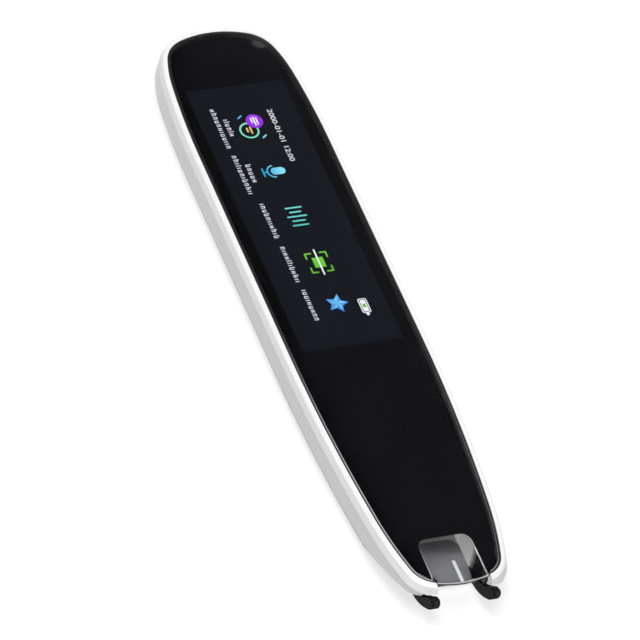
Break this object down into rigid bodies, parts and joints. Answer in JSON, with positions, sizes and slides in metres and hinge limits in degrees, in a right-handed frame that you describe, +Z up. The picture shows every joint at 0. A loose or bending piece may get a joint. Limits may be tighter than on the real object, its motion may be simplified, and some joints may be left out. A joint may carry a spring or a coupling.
{
  "type": "scanning pen",
  "caption": "Slim scanning pen with a long glass display, a clear nose window and a spring-loaded black nose shoe with rollers.",
  "frame": {"origin": "middle of the flat back, on the surface that the pen lies on", "axes": "+Z up through the glass, +Y to the tail, -Y to the nose, +X to the side with the power key"},
  "size_m": [0.0336, 0.1546, 0.01],
  "materials": {
    "shell_white": "gloss white",
    "frame_black": "satin black",
    "clear_glass": "polished",
    "black_print": "gloss black",
    "white_print": "white print",
    "display": "dark display",
    "backlight": "white sheet",
    "flex": "polyimide",
    "inner_frame": "satin",
    "steel": "satin",
    "board_green": "solder mask",
    "chip_black": "matt",
    "cell": "foil",
    "wire": "satin",
    "mesh": "woven",
    "shoe_black": "satin black",
    "roller_rubber": "matt",
    "chamber_grey": "matt",
    "floor_grey": "matt",
    "guide_pale": "frosted",
    "lamp": "clear lens",
    "barrel_black": "matt"
  },
  "bodies": {
    "body": {"rear_shell": "shell_white", "glass_frame": "frame_black", "cover_glass": "clear_glass", "mask_film": "black_print", "pointer_line": "white_print", "lcd_panel": "display", "backlight_unit": "backlight", "lcd_flex": "flex", "mid_frame": "inner_frame", "frame_screws": "steel", "main_board": "board_green", "board_screws": "steel", "processor_shield": "steel", "memory_chips": "chip_black", "radio_module": "chip_black", "battery": "cell", "battery_lead": "wire", "battery_connector": "backlight", "port_board": "board_green", "usb_c_socket": "steel", "port_flex": "flex", "microphone": "steel", "lanyard_pin": "steel", "speaker": "chip_black", "speaker_mesh": "mesh", "power_switch": "chip_black", "power_flex": "flex", "left_shoe_spring": "steel", "right_shoe_spring": "steel", "scan_switch": "chip_black", "nose_chamber": "chamber_grey", "chamber_floor": "floor_grey", "left_light_guide": "guide_pale", "right_light_guide": "guide_pale", "led_board": "board_green", "led_lamps": "lamp", "camera_board": "board_green", "image_sensor": "chip_black", "camera_holder": "barrel_black", "lens_barrel": "barrel_black", "camera_lens": "clear_glass", "camera_flex": "flex"},
    "power_key": {"power_button": "shell_white"},
    "power_stem": {"power_switch_plunger": "white_print"},
    "shoe": {"nose_shoe": "shoe_black", "roller_pins": "steel"},
    "scan_stem": {"scan_switch_plunger": "white_print"},
    "left_wheel": {"left_roller": "roller_rubber"},
    "right_wheel": {"right_roller": "roller_rubber"}
  },
  "joints": [
    {"name": "scan_press", "type": "slide", "parent": "body", "child": "shoe", "axis": [0, 1, 0], "range_m": [0, 0.0005], "stiffness_N_per_m": 600, "springref_m": -0.001, "deforming": ["left_shoe_spring", "right_shoe_spring"]},
    {"name": "scan_stem_press", "type": "slide", "parent": "body", "child": "scan_stem", "axis": [0, 1, 0], "range_m": [0, 0.0005]},
    {"name": "power_press", "type": "slide", "parent": "body", "child": "power_key", "axis": [-1, 0, 0], "range_m": [0, 0.0003], "stiffness_N_per_m": 1500, "springref_m": -0.0003},
    {"name": "power_stem_press", "type": "slide", "parent": "body", "child": "power_stem", "axis": [-1, 0, 0], "range_m": [0, 0.0003]},
    {"name": "left_roller_spin", "type": "hinge", "parent": "shoe", "child": "left_wheel", "pos_m": [-0.0068, -0.0766, 0.0073], "axis": [1, 0, 0], "continuous": true},
    {"name": "right_roller_spin", "type": "hinge", "parent": "shoe", "child": "right_wheel", "pos_m": [0.0068, -0.0766, 0.0073], "axis": [1, 0, 0], "continuous": true}
  ],
  "couplings": [
    {"joint": "scan_stem_press", "follows": "scan_press", "ratio": 1},
    {"joint": "power_stem_press", "follows": "power_press", "ratio": 1}
  ]
}
